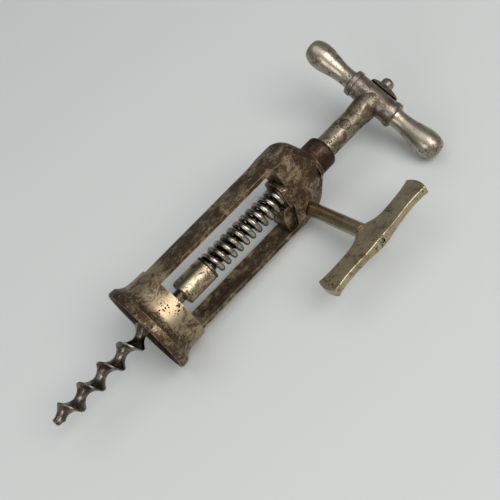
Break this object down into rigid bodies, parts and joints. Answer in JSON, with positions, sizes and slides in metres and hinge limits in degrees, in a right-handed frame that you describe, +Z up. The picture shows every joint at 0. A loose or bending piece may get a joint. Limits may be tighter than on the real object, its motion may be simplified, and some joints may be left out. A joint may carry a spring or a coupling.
{
  "type": "corkscrew",
  "caption": "Metal corkscrew with an open two-pillar frame and bell, bladed worm, coil spring, club-ended cross handle and a side grip on a toothed sector that lifts the worm.",
  "frame": {"origin": "centre of the ledge inside the bell that the bottle's mouth rests on", "axes": "+X along the worm's axis from the worm towards the cross handle, +Z up from the table it lies on"},
  "size_m": [0.1945, 0.0836, 0.04],
  "materials": {
    "aged_nickel_frame": "worn, patchy nickel over steel",
    "brown_bronze": "dark red-brown patina",
    "dark_steel": "dark, oiled",
    "spring_steel": "polished wire with dark patina",
    "pale_nickel": "pale nickel with brown spots",
    "worm_steel": "dark polished steel",
    "aged_nickel_stem": "worn nickel, brown stains",
    "rose_nickel": "pinkish worn nickel",
    "grip_nickel": "bright nickel with pits",
    "pinion_steel": "bright steel teeth",
    "axle_nickel": "pale warm nickel",
    "tee_nickel": "pale warm nickel with dark specks"
  },
  "bodies": {
    "frame_unit": {"frame": "aged_nickel_frame", "neck_collar": "brown_bronze", "spring_washer": "dark_steel", "spring": "spring_steel"},
    "thrust_slide": {"thrust_washer": "dark_steel"},
    "screw_unit": {"worm": "worm_steel", "worm_collar": "pale_nickel", "rack_spindle": "spring_steel", "stem": "aged_nickel_stem", "cross_pin": "aged_nickel_stem", "handle_barrel": "rose_nickel", "handle_rod": "dark_steel", "right_ferrule": "rose_nickel", "left_ferrule": "rose_nickel", "right_grip": "grip_nickel", "left_grip": "grip_nickel", "saddle_plate": "dark_steel", "finial_screw": "rose_nickel"},
    "side_crank": {"pinion": "pinion_steel", "pinion_pin": "dark_steel", "pinion_axle": "axle_nickel", "axle_washer": "pale_nickel", "axle_nut": "pale_nickel", "tee_grip": "tee_nickel"}
  },
  "joints": [
    {"name": "lift", "type": "slide", "parent": "frame_unit", "child": "thrust_slide", "axis": [1, 0, 0], "range_m": [0, 0.012], "stiffness_N_per_m": 300, "springref_m": -0.002, "deforming": ["spring"]},
    {"name": "turn", "type": "hinge", "parent": "thrust_slide", "child": "screw_unit", "pos_m": [0, 0, 0], "axis": [1, 0, 0], "continuous": true},
    {"name": "crank", "type": "hinge", "parent": "frame_unit", "child": "side_crank", "pos_m": [0.07073, -0.00322, -0.01203], "axis": [0, 0.9659, -0.2588], "range_deg": [0, 67.41]}
  ],
  "couplings": [
    {"joint": "crank", "follows": "lift", "rad_per_m": 98.039}
  ]
}
